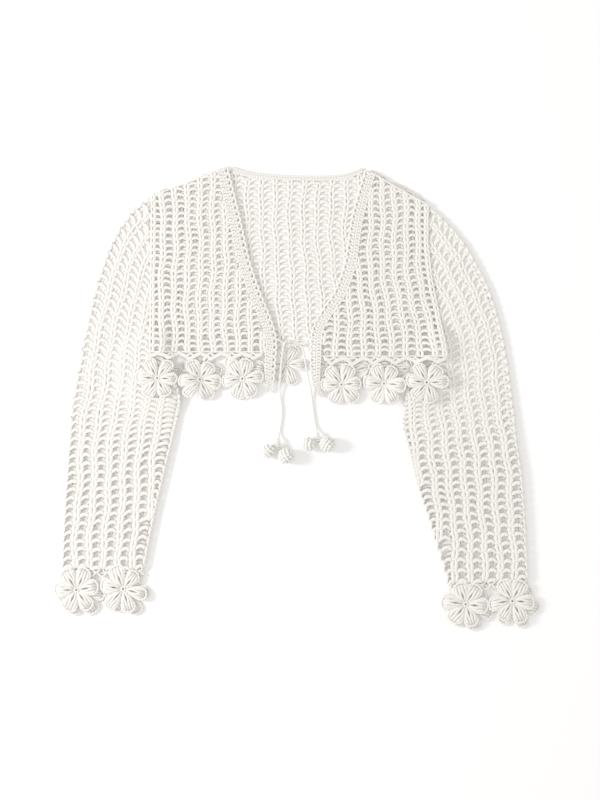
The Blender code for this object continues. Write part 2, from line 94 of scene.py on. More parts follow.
def through(rows, steps):
    """Rows along a smooth curve through the given ones, with steps to each span."""
    rows = np.array(rows, float)
    last = len(rows) - 1
    result = []
    for index in range(last):
        a = rows[max(index - 1, 0)]
        b, c = rows[index], rows[index + 1]
        d = rows[min(index + 2, last)]
        for step in range(steps):
            t = step / steps
            cubic = (3.0 * b - a - 3.0 * c + d) * t**3
            square = (2.0 * a - 5.0 * b + 4.0 * c - d) * t**2
            result.append(0.5 * (2.0 * b + (c - a) * t + square + cubic))
    result.append(rows[-1])
    return np.array(result)


def reach_along(rows, size):
    """How far each row lies along the line, measured on its first size columns."""
    spans = np.linalg.norm(np.diff(rows[:, :size], axis=0), axis=1)
    return np.concatenate([[0.0], np.cumsum(spans)])


def at_reach(wanted, reach, rows):
    """Every column of the rows at the wanted reaches."""
    return np.stack([np.interp(wanted, reach, column) for column in rows.T], -1)


def evenly(rows, step, size):
    """Rows about a step apart along the smooth curve."""
    fine = through(rows, 24)
    reach = reach_along(fine, size)
    count = max(round(reach[-1] / step), 1)
    return at_reach(np.linspace(0.0, reach[-1], count + 1), reach, fine)


def unit(rows):
    """Every row made one unit long."""
    return rows / np.linalg.norm(rows, axis=1)[:, None]


def headings(rows):
    """The direction of the line at each row."""
    return unit(np.gradient(rows, axis=0))


# %% [markdown]
# ## The ties
# Two thin twisted cords start under the front bands, cross, and hang down to a knot with
# two crocheted balls each. Cords come before everything else, because their length is
# fixed: the route is drawn first, and the strands are twisted round it.

# %% Routes of the ties
TIE_ROUTES = {"right": (
    (-27.2, 80.2, 6.2), (-22.4, 76.6, 5.9), (-17.4, 73.4, 5.9), (-11, 71.9, 6),
    (-5, 71.5, 6), (1, 71.2, 6), (6, 69.2, 6), (8.8, 63, 6),
    (11, 52, 6.1), (13, 40, 6.1), (14.6, 30, 6.1), (16.4, 21, 5.9),
    (18.6, 12.6, 4.9), (20, 4, 2.9), (21, -5, 1.5), (22.6, -18, 1.2),
    (25, -34, 1.2), (26.8, -45, 2.2), (28.2, -53, 5.6),
), "left": (
    (-13, 78.6, 4.8), (-15, 76.8, 7.2), (-17.2, 73.6, 8.8), (-18.8, 70, 8.2),
    (-19.6, 64, 6.6), (-20.8, 55, 6.1), (-22, 45, 6.1), (-22.7, 34, 6.1),
    (-23.4, 24, 6), (-24.6, 14, 4.9), (-24.2, 5, 2.9), (-22.8, -4, 1.5),
    (-21.2, -16, 1.2), (-21.2, -29, 1.2), (-23.2, -43, 1.2), (-25, -53, 2.2),
    (-26.2, -61, 5.6),
)}


# %% A strand of yarn
def deselect():
    """Nothing stays selected, so that an operator acts on the new object alone."""
    bpy.ops.object.select_all(action="DESELECT")


def weld(made):
    """Merges the corners that meet and points every face outwards."""
    deselect()
    bpy.context.view_layer.objects.active = made
    made.select_set(True)
    bpy.ops.object.mode_set(mode="EDIT")
    bpy.ops.mesh.select_all(action="SELECT")
    bpy.ops.mesh.remove_doubles(threshold=1e-5)
    bpy.ops.mesh.normals_make_consistent(inside=False)
    bpy.ops.object.mode_set(mode="OBJECT")


def strand(points, sides=6):
    """One closed round strand through rows of x, y, z and radius, as arrays."""
    points = np.array(points, float)
    deselect()
    bpy.ops.curve.primitive_nurbs_path_add()
    path = bpy.context.object
    path.data.splines.clear()
    line = path.data.splines.new("POLY")
    line.points.add(len(points) - 1)
    for place, (x, y, z, radius) in zip(line.points, points):
        place.co = (x, y, z, 1.0)
        place.radius = radius
    path.data.bevel_depth = 1.0
    path.data.bevel_resolution = sides // 2 - 2
    path.data.use_fill_caps = True
    bpy.ops.object.convert(target="MESH")
    made = bpy.context.object
    weld(made)
    mesh = made.data
    corners = np.array([vertex.co for vertex in mesh.vertices], float)
    faces = [list(face.vertices) for face in mesh.polygons]
    uv = np.array([entry.uv for entry in mesh.uv_layers[0].data], float)
    uv[:, 0] *= reach_along(points, 3)[-1]
    bpy.data.objects.remove(made)
    near = np.argmin(np.linalg.norm(corners[:, None] - points[None, :, :3], axis=2), axis=1)
    return {"corners": corners, "centres": points[near, :3], "faces": faces, "uv": uv}


def bundle(*strands):
    """Several strands as one stitch."""
    faces, count = [], 0
    for one in strands:
        faces += [[corner + count for corner in face] for face in one["faces"]]
        count += len(one["corners"])
    whole = {"faces": faces}
    for key in ("corners", "centres", "uv"):
        whole[key] = np.concatenate([one[key] for one in strands])
    return whole


def beaded(thin, count, more=0.35):
    """Radii that swell at every second point, as the stitches of a chain do."""
    return thin + more * (np.arange(count) % 2)


print("helpers for yarn are ready")


# %% Pieces made of many stitches
def placed(one, places=None):
    """A strand or stitch, where it is or with its corners at other places, for a piece."""
    return metres(one["corners"] if places is None else places), one["faces"], one["uv"]


def piece(name, parts, finish):
    """One object from parts of corners in metres, faces and uv."""
    corners = np.concatenate([part[0] for part in parts])
    uv = np.concatenate([part[2] for part in parts])
    faces, count = [], 0
    for part in parts:
        faces += [[corner + count for corner in face] for face in part[1]]
        count += len(part[0])
    mesh = bpy.data.meshes.new(name)
    mesh.from_pydata(corners.tolist(), [], faces)
    layer = mesh.uv_layers.new(name="yarn")
    layer.data.foreach_set("uv", uv.ravel())
    mesh.shade_smooth()
    mesh.materials.append(finish)
    made = bpy.data.objects.new(name, mesh)
    bpy.context.scene.collection.objects.link(made)
    print(name, sum(len(face) - 2 for face in faces), "triangles")
    return made


# %% [markdown]
# ## Cotton
# All of the yarn is the same off-white cotton, spun from two plies. Its look comes from
# three things: the ridges of the twist, whose grooves are also painted with shade, the fuzz,
# and slow changes of tone where the yarn took up more or less handling. One node group makes
# all three, and each material uses it with its own values.

# %% The yarn group
def socket(name, kind, way, value=None):
    kind = "NodeSocket" + kind
    made = twisted_yarn.interface.new_socket(name=name, in_out=way, socket_type=kind)
    if value is not None:
        made.default_value = value


def node(tree, kind, **settings):
    made = tree.nodes.new(kind)
    for key, value in settings.items():
        setattr(made, key, value)
    return made


def set_values(shader, **values):
    """Plain values on a node's own inputs; an underscore stands for a space."""
    for name, value in values.items():
        shader.inputs[name.replace("_", " ")].default_value = value


def maths(operation, first, second):
    """A Math node in the yarn group on two sockets or numbers; returns its output."""
    made = node(twisted_yarn, "ShaderNodeMath", operation=operation)
    for index, value in enumerate((first, second)):
        if isinstance(value, (int, float)):
            made.inputs[index].default_value = value
        else:
            twisted_yarn.links.new(value, made.inputs[index])
    return made.outputs[0]


def times(first, second):
    return maths("MULTIPLY", first, second)


def plus(first, second):
    return maths("ADD", first, second)


twisted_yarn = bpy.data.node_groups.new("twisted_yarn", "ShaderNodeTree")
socket("Along", "Vector", "INPUT")
socket("Place", "Vector", "INPUT")
socket("Light", "Color", "INPUT", (0.9, 0.88, 0.84, 1.0))
socket("Shade", "Color", "INPUT", (0.8, 0.76, 0.7, 1.0))
for name, value in (("Plies", 2.0), ("Twist", 3.2), ("Fuzz", 1600.0)):
    socket(name, "Float", "INPUT", value)
for name, kind in (("Color", "Color"), ("Height", "Float"), ("Roughness", "Float")):
    socket(name, kind, "OUTPUT")

# %% What is in the group
# The twist's ridge also tints the colour: painted shade, darker in the grooves between the plies.
RIDGE_PAINTED_SHADE = 0.35
FUZZ_TONE = 0.4
HANDLING_TONE = 0.6
RIDGE_RELIEF = 0.6
FUZZ_RELIEF = 0.6
SMOOTHEST = 0.72
FUZZ_ROUGH = 0.24
tree = twisted_yarn
link = tree.links.new
inside = node(tree, "NodeGroupInput")
outside = node(tree, "NodeGroupOutput")
split = node(tree, "ShaderNodeSeparateXYZ")
link(inside.outputs["Along"], split.inputs[0])
turns = maths("DIVIDE", split.outputs["X"], inside.outputs["Twist"])
around = times(split.outputs["Y"], inside.outputs["Plies"])
phase = times(plus(turns, around), 2.0 * math.pi)
ridge = times(plus(maths("SINE", phase, 0.0), 1.0), 0.5)
fuzz = node(tree, "ShaderNodeTexNoise")
set_values(fuzz, Detail=3.0)
link(inside.outputs["Place"], fuzz.inputs["Vector"])
link(inside.outputs["Fuzz"], fuzz.inputs["Scale"])
tone = node(tree, "ShaderNodeTexNoise")
set_values(tone, Scale=38.0, Detail=2.0)
link(inside.outputs["Place"], tone.inputs["Vector"])
hairs = fuzz.outputs[0]
# The ridge term is painted shade in the twist's grooves; the fuzz and the slow noise are the yarn's own
# tone.
share = plus(times(ridge, RIDGE_PAINTED_SHADE), times(hairs, FUZZ_TONE))
share = plus(share, times(tone.outputs[0], HANDLING_TONE))
mix = node(tree, "ShaderNodeMix", data_type="RGBA")
link(share, mix.inputs[0])
link(inside.outputs["Shade"], mix.inputs[6])
link(inside.outputs["Light"], mix.inputs[7])
link(mix.outputs[2], outside.inputs["Color"])
link(plus(times(ridge, RIDGE_RELIEF), times(hairs, FUZZ_RELIEF)), outside.inputs["Height"])
link(plus(SMOOTHEST, times(hairs, FUZZ_ROUGH)), outside.inputs["Roughness"])
print("twisted_yarn has", len(tree.nodes), "nodes")


# %% The four cottons
def cotton(name, light, shade, twist, fuzz_scale, relief):
    """One cotton: its two tones, millimetres to a turn, fineness of fuzz and relief in metres."""
    made = bpy.data.materials.new(name)
    made.use_nodes = True
    nodes = made.node_tree
    shader = nodes.nodes["Principled BSDF"]
    set_values(shader, Specular_IOR_Level=0.25, Sheen_Weight=0.25, Sheen_Roughness=0.6)
    place = node(nodes, "ShaderNodeTexCoord")
    yarn = node(nodes, "ShaderNodeGroup", node_tree=twisted_yarn)
    set_values(yarn, Light=(*light, 1.0), Shade=(*shade, 1.0), Twist=twist, Fuzz=fuzz_scale)
    bump = node(nodes, "ShaderNodeBump")
    set_values(bump, Strength=0.7, Distance=relief)
    for source, output, target, socket_name in (
        (place, "UV", yarn, "Along"), (place, "Object", yarn, "Place"),
        (yarn, "Color", shader, "Base Color"), (yarn, "Roughness", shader, "Roughness"),
        (yarn, "Height", bump, "Height"), (bump, "Normal", shader, "Normal"),
    ):
        nodes.links.new(source.outputs[output], target.inputs[socket_name])
    return made


NET_TONES = ((0.80, 0.762, 0.714), (0.745, 0.699, 0.632))
net_cotton = cotton("net_cotton", *NET_TONES, 3.0, 1500.0, 0.0003)
edging_cotton = cotton("edging_cotton", *NET_TONES, 2.8, 1500.0, 0.0003)
flower_cotton = cotton("flower_cotton", (0.79, 0.753, 0.706), (0.735, 0.69, 0.625), 3.2, 1400.0, 0.00035)
# The cord's cotton is a little darker than the net's: painted shade for the shadow a thin cord shows
# along itself. The balls and knots share it.
cord_cotton = cotton("cord_cotton", (0.78, 0.75, 0.705), (0.69, 0.66, 0.607), 2.4, 1700.0, 0.00025)
print("4 cottons")


# %% [markdown]
# ## Twisting the ties
# Two plies lie on opposite sides of the route and turn round it. A twisted pair of round
# strands catches the light in slanting beads, as the real cord does, which one smooth tube
# can't.

# %% Twisted ties
CORD_RADIUS = 1.1
PLY_AWAY = 0.66
PLY_THICK = 0.84
CORD_TURN = 4.6


def twisted_pair(rows):
    """Two strands that turn round a route in millimetres, and never dip into the table."""
    fine = evenly(rows, 1.35, 3)
    reach = reach_along(fine, 3)
    along = headings(fine)
    side = unit(np.cross(along, (0.0, 0.0, 1.0)))
    over = np.cross(side, along)
    parts = []
    for start in (0.0, math.pi):
        turn = start + reach / CORD_TURN * 2.0 * math.pi
        away = side * np.cos(turn)[:, None] + over * np.sin(turn)[:, None]
        thick = np.full(len(fine), CORD_RADIUS * PLY_THICK)
        path = np.column_stack([fine + away * CORD_RADIUS * PLY_AWAY, thick])
        path[:, 2] = np.maximum(path[:, 2], path[:, 3])
        parts.append(placed(strand(path)))
    return parts


ties, routes = {}, {}
for side, rows in TIE_ROUTES.items():
    ties[side] = piece("tie_" + side + "_cord", twisted_pair(rows), cord_cotton)
    points = evenly(rows, 5.4, 3)
    routes[side] = metres(points)
    print("tie", side, round(reach_along(points, 3)[-1], 1), "mm,", len(points), "points")

# %% [markdown]
# ## Balls and knots
# Each ball is worked in a spiral, so one beaded strand runs round it from pole to pole over
# a filled core. Its pole is tipped to the side, because the hole that a spiral leaves there
# would look up at the viewer. The knot is a strand wound five times, and three strands run
# from it to each ball.

# %% Balls
BALLS = {
    "right": ((16.0, -67.0, 10.5), (42.4, -67.4, 11.5)),
    "left": ((-40.4, -77.2, 10.5), (-15.2, -83.8, 12.0)),
}
BALL_SQUASH = 0.8
BALL_STITCH = 5.6
YARN_IN_BALL = 3.1
LOWEST_YARN = 2.2


def crocheted_ball(name, x, y, radius):
    """A ball worked in a spiral, with a bead at each stitch."""
    turns = round(radius * 0.48)
    step = np.linspace(0.02, 0.98, int(turns * radius * 2.9))
    polar = step * math.pi
    turn = step * turns * 2.0 * math.pi + x
    wide = np.sin(polar)
    around = np.column_stack([wide * np.cos(turn), wide * np.sin(turn), np.cos(polar)])
    reach = reach_along(around * radius, 3)
    stitch = np.sin(math.pi * reach / BALL_STITCH) ** 2
    yarn = 1.55 + 1.45 * stitch
    lumps = np.sin(3.0 * turn + 2.0 * polar + y) * wide + 0.15 * np.sin(4.0 * polar + x)
    away = (radius - YARN_IN_BALL) * (0.97 + 0.07 * lumps) + 0.8 * stitch
    pole = Vector((0.9, 0.35 - 0.02 * x, 0.25)).to_track_quat("Z", "Y").to_matrix()
    tipped = around @ np.array(pole).T
    middle = radius * BALL_SQUASH
    places = tipped * away[:, None] * (1.0, 1.0, BALL_SQUASH)
    places += (x, y, middle)
    places[:, 2] = np.maximum(places[:, 2], LOWEST_YARN)
    filled = np.linspace(-1.0, 1.0, 9)
    core = (radius - 2.8) * BALL_SQUASH
    stuffing = np.column_stack([
        np.full(9, x), y + core * filled, np.full(9, middle), core * np.sqrt(1.05 - filled ** 2),
    ])
    parts = [strand(np.column_stack([places, yarn])), strand(stuffing, 10)]
    return piece(name, [placed(one) for one in parts], cord_cotton)


balls = {"right": [], "left": []}
for side, rows in BALLS.items():
    for index, row in enumerate(rows, 1):
        balls[side].append(crocheted_ball(f"ball_{side}_{index}_crochet", *row))

# %% Knots
KNOTS = {"right": (28.6, -58.4), "left": (-26.6, -66.6)}
KNOT_MIDDLE = 6.6


def knot(side):
    """A strand wound round itself, with three strands to each ball."""
    x, y = KNOTS[side]
    parts = []
    share = np.linspace(0.0, 1.0, 61)
    turn = share * 10.0 * math.pi
    wide = 1.5 + 2.9 * share
    wound = np.column_stack([
        x + wide * np.cos(turn) + 0.5 * np.sin(5.0 * share),
        y + 7.6 - 14.0 * share + 0.5 * np.sin(turn),
        6.4 + (0.8 + 1.4 * share) * np.sin(turn),
        1.0 + 0.3 * np.sin(2.5 * turn) ** 2,
    ])
    parts.append(strand(wound))
    for ball_x, ball_y, radius in BALLS[side]:
        away = np.array([ball_x - x, ball_y - y])
        reach = np.linalg.norm(away)
        away /= reach
        stop = max(reach - radius + 1.6, 3.2)
        for apart in (-1.5, 0.0, 1.5):
            path = []
            for share in (0.0, 0.5, 1.0):
                along = stop * share
                bow = apart * (1.0 + math.sin(math.pi * share))
                near_x = x + away[0] * along - away[1] * bow
                near_y = y + away[1] * along + away[0] * bow
                path.append((near_x, near_y, KNOT_MIDDLE, 1.0))
            parts.append(strand(path))
    return piece("knot_" + side + "_wound", [placed(one) for one in parts], cord_cotton)


knots = {side: knot(side) for side in KNOTS}

# %% [markdown]
# ## How the layers lie
# The back lies on the surface, the sleeves on the back's outer flowers, and the fronts over
# both. These heights are the CAD model's own, so each layer of yarn fills the space of its
# solid.

# %% Edges of the panels
ARMHOLES = {
    "right": ((60, -207.6), (172, -206.4), (281, -205.2)),
    "left": ((54, 211.6), (66, 210.2), (116, 200.4), (166, 190.2), (216, 184.8),
             (267, 185.6)),
}
BACK_HEM = ((-208, 67), (-120, 74), (0, 77), (120, 73), (211, 65))
BACK_SHOULDERS = (
    ((-206, 280.5), (-150, 302.5), (-98, 321)),
    ((99, 317), (163, 284.5), (187, 266.5)),
)
BACK_NECK = ((-92, 317.6), (-59, 309.2), (4, 305), (60, 306.4), (92, 316.2))
BAND_RIGHT = (
    (-40, 4, 5), (-33.5, 14, 9), (-30.8, 29.4, 13.5), (-29, 54, 15),
    (-28, 78.4, 15), (-35, 106.4, 15), (-49, 141.4, 15.5), (-65.8, 190.4, 16),
    (-79.8, 253.4, 16), (-96.6, 321, 15),
)
BAND_LEFT = (
    (34, -3, 4.6), (25, 8, 8), (21.4, 19, 10.6), (18.2, 50.4, 15),
    (21, 92.4, 15), (35, 120.4, 15), (53.2, 148.4, 15.5), (67.2, 190.4, 16),
    (77, 253.4, 16), (95.2, 316.4, 15),
)

# %% Heights of the layers
WALL = 2.2
NET_TOP = 3.0
SEAM = 0.3
FRONT_Z = NET_TOP + SEAM
FLOWER_CROWN = 4.4
OVER_FLOWER = FLOWER_CROWN + SEAM
TUCK_HOLLOW = 0.6
TUCKED_SLEEVE = 2.0 * WALL + TUCK_HOLLOW + 0.8 + 3.0 * SEAM
DROOP = 2.4
OUTER_FLOWERS = (-193.0, 162.8)
BELOW_HEM = 32.6
FOLDS = {"right": (
    (64, -208.6), (61, -206.6), (58, -202), (54.5, -195), (50, -186.5), (41, -176),
    (24, -165.5), (-8, -160.4), (-46, -169), (-98, -181), (-163, -196.5), (-238, -211.4),
), "left": (
    (61, 212), (57.6, 209.4), (53, 204), (47, 196), (42, 187), (31, 175),
    (12, 156), (-22, 143.4), (-62, 150.6), (-112, 162), (-177, 183.6), (-261.6, 209.6),
)}
fine_hem = through(BACK_HEM, 6)


def hem_y(x):
    return read(fine_hem, x)


def sleeve_base(x, y):
    """A sleeve rides over the back's outermost flower."""
    nearest = np.where(x < 0.0, *OUTER_FLOWERS)
    far = np.hypot(x - nearest, y - (hem_y(nearest) - BELOW_HEM))
    return (OVER_FLOWER + SEAM) * (1.0 - smooth(40.0, 72.0, far))


def front_base(x, y):
    """A front lies on the back's flowers and climbs the tucked sleeve."""
    inside = np.where(x < 0.0, x - read(FOLDS["right"], y), read(FOLDS["left"], y) - x) * -1.0
    tucked = smooth(-40.0, -17.0, inside) * (1.0 - smooth(80.0, 112.0, y))
    over_back_flowers = (OVER_FLOWER - FRONT_Z) * (1.0 - smooth(78.0, 96.0, y))
    droop = DROOP * smooth(-12.0, 12.0, 6.0 - y) * (1.0 - tucked)
    return FRONT_Z + over_back_flowers + TUCKED_SLEEVE * tucked - droop


def ground(x, y):
    return np.zeros_like(x)


over_tuck = front_base(np.array([-195.0]), np.array([25.0]))[0]
print("front over the tuck", round(float(over_tuck), 1), "mm")

# %% [markdown]
# ## The net stitch
# The net repeats one stitch some two thousand times: a pillar of two upright stitches with
# their loops on top, and a short chain that arches to the next pillar. It is modelled once,
# from four strands of a few dozen faces, and copied into every cell of every panel.

# %% One stitch of the net
COLUMN = 18.0
ROW = 8.8


def pressed(one, across, along=1.0, up=1.0):
    """A strand whose round section is pressed wider or flatter."""
    away = (one["corners"] - one["centres"]) * (across, along, up)
    return {**one, "corners": one["centres"] + away}


def turned(stitch):
    """The same stitch worked downwards."""
    flip = (1.0, -1.0, 1.0)
    shift = (0.0, ROW, 0.0)
    corners = stitch["corners"] * flip + shift
    return {**stitch, "corners": corners, "centres": stitch["centres"] * flip + shift}


pillar = bundle(
    pressed(strand([(-1.3, -1.3, 1, 1.05), (-1.95, 1.6, 1.45, 1.35), (-2.7, 4.8, 1.5, 1.35),
                    (-1.1, 8.4, 1.3, 1.2)]), 1.55),
    pressed(strand([(1.4, -1.1, 1.1, 1.05), (2.05, 1.9, 1.5, 1.35), (2.65, 4.6, 1.4, 1.35),
                    (1.2, 8.5, 1.2, 1.2)]), 1.55),
    pressed(strand([(-4.6, 7.1, 1, 1.05), (-2, 8.8, 1.85, 1.3), (1.9, 8.5, 1.95, 1.3),
                    (4.6, 7.3, 1, 1.05)]), 1, 1.25),
)
chain = pressed(strand([
    (3, 7, 1.15, 1.2), (6, 8.7, 1.3, 1.5), (9.2, 9.4, 1.3, 1.3),
    (12.2, 8.8, 1.3, 1.5), (15, 7.1, 1.15, 1.2),
]), 1, 1.35)
# How much wider each panel's uprights and chains are pressed than these.
WIDER = {"back": (1.12, 1.5), "front": (1.08, 1.15), "sleeve": (1.34, 1.52)}
print("pillar", len(pillar["faces"]), "faces, chain", len(chain["faces"]), "faces")


# %% Laying stitches on a panel
def uneven(x, y):
    """Slow shifts that no hand-made net is without, in millimetres."""
    across = 1.5 * np.sin(y / 23.0 + x / 61.0) + 1.0 * np.sin(y / 9.1 - x / 17.0 + 1.3)
    along = 1.3 * np.sin(x / 31.0 + 0.7) + 1.1 * np.sin(x / 8.3 + y / 27.0)
    return across, along + 0.6 * np.sin(x / 4.1 - y / 13.0)


def lay(stitch, cells, surface, limit, wide=1.0, sway=0.0, lean=0.0):
    """A stitch copied to cells of a panel; surface gives places and normals.

    A cell is its column, its row and how many columns it spans. Limit keeps the copies
    inside the panel, sway lifts or drops the middle of each, and lean turns each a little.
    """
    cells = np.array(cells, float)
    count = len(cells)
    centres = stitch["centres"] / (COLUMN, ROW, 1.0)
    offsets = (stitch["corners"] - stitch["centres"]) * (wide, 1.0, 1.0)
    arch = np.sin(np.pi * np.clip(centres[:, 0], 0.0, 1.0))
    loose = rng.normal(0.0, sway, count)
    tilt = rng.normal(0.0, lean, count)
    swell = rng.normal(1.0, lean * 2.5, count)
    across = centres[None, :, 0] * swell[:, None] * cells[:, 2, None]
    across = across + tilt[:, None] * (centres[None, :, 1] - 0.5)
    u = (cells[:, 0, None] + across).ravel()
    v = (cells[:, 1, None] + centres[None, :, 1] + loose[:, None] * arch[None, :]).ravel()
    rise = np.tile(centres[:, 2], count)
    here, normal = surface(u, v)
    step_u = unit(surface(u + 0.05, v)[0] - surface(u - 0.05, v)[0])
    step_v = unit(surface(u, v + 0.05)[0] - surface(u, v - 0.05)[0])
    move = np.tile(offsets, (count, 1))
    places = here + step_u * move[:, 0:1] + step_v * move[:, 1:2]
    places = places + normal * (rise + move[:, 2])[:, None]
    faces = np.array([face for face in stitch["faces"] if len(face) == 4])
    ends = np.array([face for face in stitch["faces"] if len(face) == 3])
    jump = (np.arange(count) * len(offsets))[:, None, None]
    whole = (faces[None] + jump).reshape(-1, 4).tolist() + (ends[None] + jump).reshape(-1, 3).tolist()
    sizes = [len(face) for face in stitch["faces"]]
    four = np.repeat([size == 4 for size in sizes], sizes)
    uv = [np.tile(stitch["uv"][which], (count, 1)) for which in (four, ~four)]
    return metres(limit(places)), whole, np.concatenate(uv)


rng = np.random.default_rng(7)
UP = np.array([[0.0, 0.0, 1.0]])

# %% [markdown]
# ## Back and fronts
# The columns of stitches run upright from the hem to the shoulder, and the rows run across.
# The armhole bends them a little, and the neckline cuts through them.

# %% The back's net
BACK_COLUMNS = 20


def back_top(x):
    """A shoulder, or the neck just under its edging."""
    fine_neck = through(BACK_NECK, 6)
    neck = read(fine_neck, x) - 3.6
    left = read(BACK_SHOULDERS[0], x)
    right = read(BACK_SHOULDERS[1], x)
    return np.where(x <= -98.0, left, np.where(x >= 99.0, right, neck))


def back_surface(u, v):
    """Places and normals of the back at columns u and rows v."""
    first, last = ARMHOLES["right"][0][1], ARMHOLES["left"][1][1]
    across = u / BACK_COLUMNS
    x_hem = first + (last - first) * across
    y = hem_y(x_hem) + v * ROW
    left, right = read(ARMHOLES["right"], y), read(ARMHOLES["left"], y)
    x = left + (right - left) * across
    shift, raised = uneven(x, y)
    y = y + raised * smooth(0.0, 2.0, v)
    x = x + shift * smooth(0.0, 1.0, across * BACK_COLUMNS) * smooth(0.0, 1.0, BACK_COLUMNS - u)
    return np.column_stack([x, y, np.zeros_like(x)]), UP


def spot(surface, u, v):
    """One place on a panel."""
    return surface(np.array([u]), np.array([v]))[0][0]


def cells_below(surface, starts, top, room=None):
    """Cells under a top edge: their pillar's column, their row and the span to the next."""
    pillars, chains = [], []
    for index, first in enumerate(starts):
        for row in range(34):
            place = spot(surface, first, row + 0.35)
            foot = spot(surface, first, float(row))
            if foot[1] + 0.45 * ROW > top(place[0]):
                break
            if room is not None and room(place) < 1.5:
                continue
            pillars.append((first, row, 1.0))
            if index + 1 < len(starts):
                chains.append((first, row, starts[index + 1] - first))
    return pillars, chains


back_starts = [0.2, *range(1, BACK_COLUMNS), BACK_COLUMNS - 0.2]
pillars, chains = cells_below(back_surface, back_starts, back_top)


def back_limit(places):
    left = read(ARMHOLES["right"], places[:, 1]) + 0.6
    right = read(ARMHOLES["left"], places[:, 1]) - 0.6
    places[:, 0] = np.clip(places[:, 0], left, right)
    places[:, 1] = np.minimum(places[:, 1], back_top(places[:, 0]) + 1.2)
    return places


def flat_line(rows, radius, base, lift):
    """A chain along an edge, beaded by its stitches."""
    fine = evenly(rows, 2.1, 2)
    x, y = fine[:, 0], fine[:, 1]
    beads = radius * beaded(0.88, len(fine), 0.2)
    return placed(strand(np.column_stack([x, y, base(x, y) + lift, beads])))


def back_shoulder(rows, start, end):
    """The chain just under one shoulder of the back."""
    under = [(x, read(rows, x) - 1.4) for x in np.linspace(start, end, 9)]
    return flat_line(under, 1.2, ground, 1.4)


over_hem = [(x, hem_y(x) + 0.4) for x in np.linspace(-206.0, 209.0, 24)]
back_edges = [
    flat_line(over_hem, 1.15, ground, 1.3),
    back_shoulder(BACK_SHOULDERS[0], -204.5, -99.0),
    back_shoulder(BACK_SHOULDERS[1], 100.0, 184.5),
]
wide, long = WIDER["back"]
back_net = piece("back_net", [
    lay(pillar, pillars, back_surface, back_limit, wide, lean=0.02),
    lay(pressed(chain, 1.0, long), chains, back_surface, back_limit, sway=0.06),
    *back_edges,
], net_cotton)


# %% The fronts' net
def beside(rows, way):
    """x and y at each row's own width beside a path of x, y, width."""
    rows = np.array(rows, float)
    along = headings(rows[:, :2])
    across = np.column_stack([along[:, 1], -along[:, 0]])
    across *= np.sign(across[:, 0:1] * way)
    return rows[:, :2] + across * rows[:, 2:3]


FRONT_COLUMNS = 9
FRONTS = {
    "right": {"hem": 61.6, "shoulder": ((-206.0, 280.5), (-98.0, 321.0)), "last": -46.4,
              "band": BAND_RIGHT, "way": -1},
    "left": {"hem": 55.4, "shoulder": ((187.0, 266.5), (99.0, 317.0)), "last": 36.6,
             "band": BAND_LEFT, "way": 1},
}


def front_net(side):
    """The net of one front, cut by its neckline."""
    plan = FRONTS[side]
    first = float(read(ARMHOLES[side], plan["hem"]))
    way = plan["way"]
    edge = [(y, x) for x, y in beside(evenly(plan["band"], 4.0, 2), way) if y > plan["hem"] - 12.0]

    def surface(u, v):
        away = 1.0 - u / FRONT_COLUMNS
        x_hem = first + (plan["last"] - first) * (u / FRONT_COLUMNS)
        y = plan["hem"] + v * ROW
        x = x_hem + (read(ARMHOLES[side], y) - first) * away
        shift, raised = uneven(x + 40.0, y + 15.0)
        y = y + raised * smooth(0.0, 2.0, v)
        x = x + shift * smooth(0.0, 1.0, u)
        return np.column_stack([x, y, front_base(x, y)]), UP

    def room(place):
        return (place[0] - read(edge, place[1])) * way

    def limit(places):
        x, y = places[:, 0], places[:, 1]
        near = (x - read(edge, y)) * way
        x = np.where(near < -0.8, x - way * (near + 0.8) * 0.9, x)
        outer = read(ARMHOLES[side], y)
        x = np.where((outer - x) * way < 0.5, outer - way * 0.5, x)
        places[:, 0] = x
        places[:, 1] = np.minimum(y, read(plan["shoulder"], x) + 0.4)
        return places

    starts = [0.22, *range(1, FRONT_COLUMNS + 1)]
    pillars, chains = cells_below(surface, starts, lambda x: read(plan["shoulder"], x), room)
    low = [(x, plan["hem"] + 0.4) for x in np.linspace(first - way * 0.8, plan["last"], 12)]
    hem = flat_line(low, 1.15, front_base, 1.3)
    tip, neck = sorted(plan["shoulder"], key=lambda point: -abs(point[0]))
    shoulder = flat_line([
        (tip[0] + (neck[0] - tip[0]) * share, tip[1] + (neck[1] - tip[1]) * share - 1.4)
        for share in np.linspace(0.02, 0.86, 7)
    ], 1.2, front_base, 1.5)
    wide, long = WIDER["front"]
    made = piece("front_" + side + "_net", [
        lay(pillar, pillars, surface, limit, wide, lean=0.02),
        lay(pressed(chain, 1.0, long), chains, surface, limit, sway=0.06),
        hem, shoulder,
    ], net_cotton)
    print("front", side, len(pillars), "pillars")
    return made


fronts = {side: front_net(side) for side in FRONTS}

# %% [markdown]
# ## Sleeves
# A sleeve is a tube of the same net, laid flat. Its columns follow the outer fold and its
# rows fan out round the armpit. The stitches are laid round the tube's flattened section,
# so the net closes at both folds.

